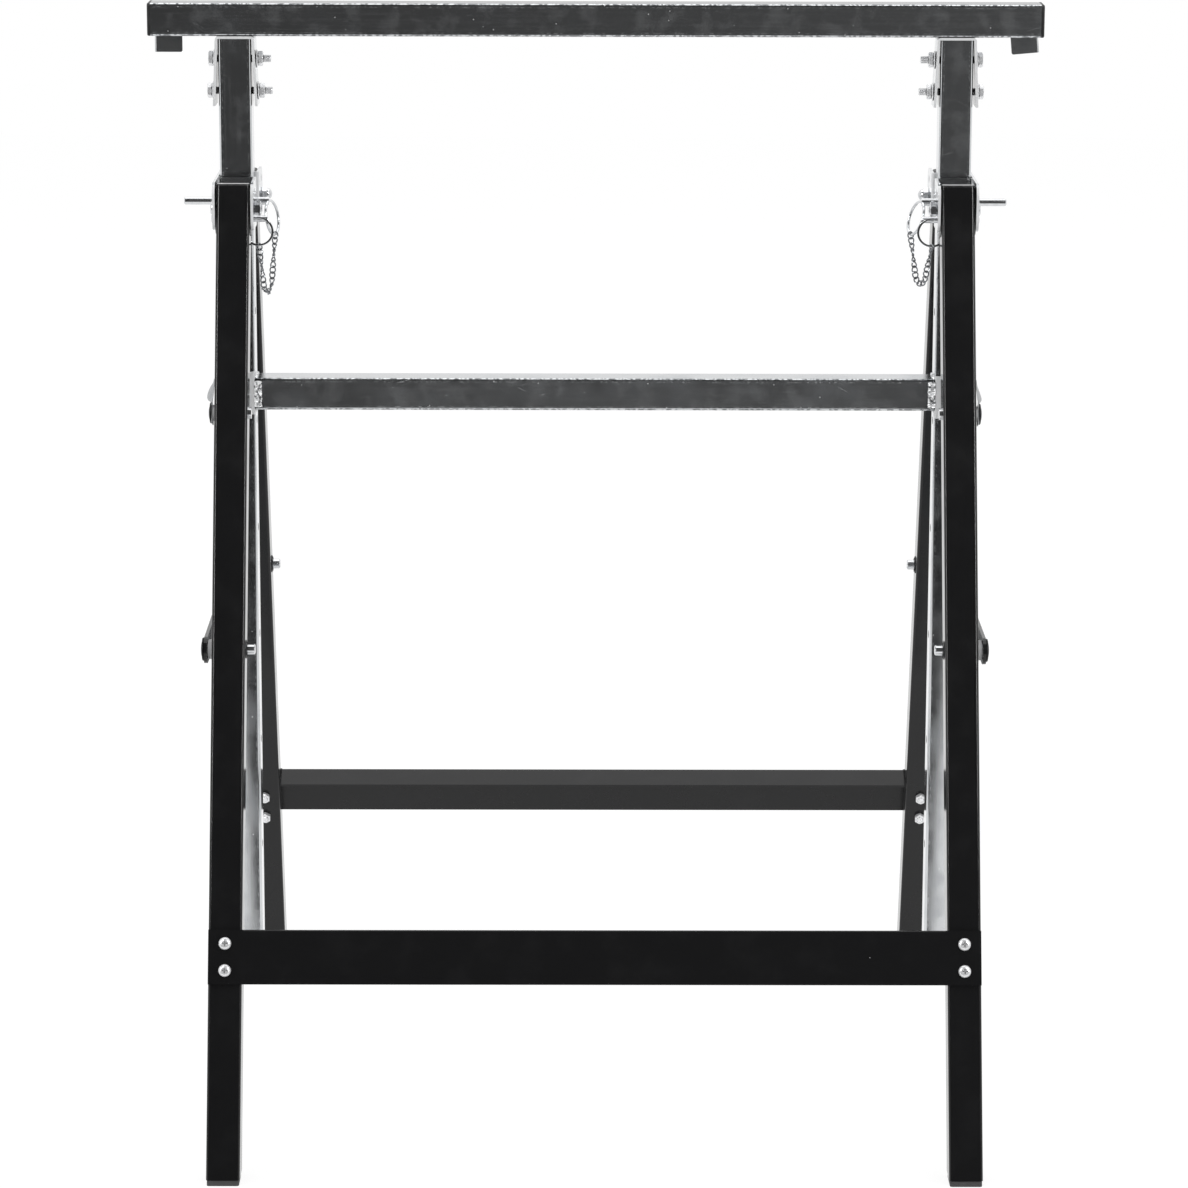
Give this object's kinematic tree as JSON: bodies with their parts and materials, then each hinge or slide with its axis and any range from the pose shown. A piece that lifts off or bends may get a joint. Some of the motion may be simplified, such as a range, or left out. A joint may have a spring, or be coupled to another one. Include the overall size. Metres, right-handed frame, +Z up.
{
  "type": "adjustable support stand",
  "caption": "Folding support stand with hinged A-frame legs, a telescopic post frame held by chained lock pins, side links and a square-tube top beam with flip-up stops.",
  "frame": {"origin": "on the floor, under the middle of the top beam", "axes": "+X along the top beam to the right seen from the front, +Y to the rear, +Z up"},
  "size_m": [0.68, 0.5872, 0.842],
  "materials": {
    "black_powder_coat": "satin black powder coat",
    "galvanised_steel": "bright zinc-galvanised tube and sheet with light handling marks",
    "bright_zinc": "bright zinc-plated steel hardware",
    "black_oxide_steel": "black oxide spring steel",
    "weld_metal": "weld bead under silver touch-up paint",
    "black_plastic": "matt black moulded plastic",
    "grey_plastic": "matt dark grey moulded plastic"
  },
  "bodies": {
    "brackets": {"left_hinge_plate": "galvanised_steel", "right_hinge_plate": "galvanised_steel", "left_guide_angles": "galvanised_steel", "right_guide_angles": "galvanised_steel", "front_pivot_bolts": "bright_zinc", "front_pivot_nuts": "bright_zinc", "rear_pivot_bolts": "bright_zinc", "rear_pivot_dome_nuts": "bright_zinc", "spacer_pins": "bright_zinc", "split_rings": "bright_zinc", "left_chain": "bright_zinc", "right_chain": "bright_zinc"},
    "front_frame": {"left_front_leg": "black_powder_coat", "right_front_leg": "black_powder_coat", "front_leg_caps": "black_plastic", "front_feet": "grey_plastic", "front_bar": "black_powder_coat", "front_bar_screws": "bright_zinc", "front_bar_nuts": "bright_zinc", "link_pins": "bright_zinc", "link_spacers": "bright_zinc", "link_push_caps": "black_oxide_steel", "link_washers": "black_oxide_steel", "link_clips": "black_oxide_steel", "clip_spacers": "bright_zinc", "clip_pins": "bright_zinc", "clip_push_caps": "black_oxide_steel"},
    "rear_frame": {"left_rear_leg": "black_powder_coat", "right_rear_leg": "black_powder_coat", "rear_leg_caps": "black_plastic", "rear_feet": "grey_plastic", "rear_bar": "black_powder_coat", "rear_bar_screws": "bright_zinc", "rear_bar_nuts": "bright_zinc", "hook_pegs": "bright_zinc", "hook_spacers": "bright_zinc", "hook_push_caps": "black_oxide_steel", "hook_washers": "black_oxide_steel"},
    "left_link": {"left_link": "black_powder_coat"},
    "right_link": {"right_link": "black_powder_coat"},
    "telescopic_frame": {"top_beam": "galvanised_steel", "beam_end_caps": "black_plastic", "left_saddle": "galvanised_steel", "right_saddle": "galvanised_steel", "saddle_bolts": "bright_zinc", "saddle_nuts": "bright_zinc", "left_post": "galvanised_steel", "right_post": "galvanised_steel", "post_plugs": "black_plastic", "post_crossbar": "galvanised_steel", "crossbar_welds": "weld_metal", "stop_screws": "bright_zinc", "stop_nuts": "bright_zinc"},
    "left_stop": {"left_stop": "galvanised_steel"},
    "right_stop": {"right_stop": "galvanised_steel"},
    "left_pin": {"left_lock_pin": "bright_zinc", "left_pull_ring": "bright_zinc"},
    "right_pin": {"right_lock_pin": "bright_zinc", "right_pull_ring": "bright_zinc"}
  },
  "joints": [
    {"name": "front_fold", "type": "hinge", "parent": "brackets", "child": "front_frame", "pos_m": [0, -0.04, 0.69], "axis": [1, 0, 0], "range_deg": [0, 19.25]},
    {"name": "rear_fold", "type": "hinge", "parent": "brackets", "child": "rear_frame", "pos_m": [0, 0.04, 0.69], "axis": [1, 0, 0], "range_deg": [-19.25, 0]},
    {"name": "left_link_swing", "type": "hinge", "parent": "front_frame", "child": "left_link", "pos_m": [-0.29125, -0.15078, 0.37279], "axis": [1, 0, 0], "range_deg": [0, 64.71]},
    {"name": "right_link_swing", "type": "hinge", "parent": "front_frame", "child": "right_link", "pos_m": [0.29125, -0.15078, 0.37279], "axis": [1, 0, 0], "range_deg": [0, 64.71]},
    {"name": "height_slide", "type": "slide", "parent": "brackets", "child": "telescopic_frame", "axis": [0, 0, 1], "range_m": [0, 0.51]},
    {"name": "left_pin_draw", "type": "slide", "parent": "brackets", "child": "left_pin", "axis": [1, 0, 0], "range_m": [-0.008, 0.056], "deforming": ["left_chain"]},
    {"name": "right_pin_draw", "type": "slide", "parent": "brackets", "child": "right_pin", "axis": [-1, 0, 0], "range_m": [-0.008, 0.056], "deforming": ["right_chain"]},
    {"name": "left_stop_flip", "type": "hinge", "parent": "telescopic_frame", "child": "left_stop", "pos_m": [-0.326, 0.0138, 0.8295], "axis": [0, 1, 0], "range_deg": [0, 180]},
    {"name": "right_stop_flip", "type": "hinge", "parent": "telescopic_frame", "child": "right_stop", "pos_m": [0.326, 0.0138, 0.8295], "axis": [0, -1, 0], "range_deg": [-5, 175]}
  ],
  "couplings": [
    {"joint": "rear_fold", "follows": "front_fold", "ratio": -1},
    {"joint": "left_link_swing", "follows": "front_fold", "ratio": 3.3588},
    {"joint": "right_link_swing", "follows": "front_fold", "ratio": 3.3588}
  ]
}
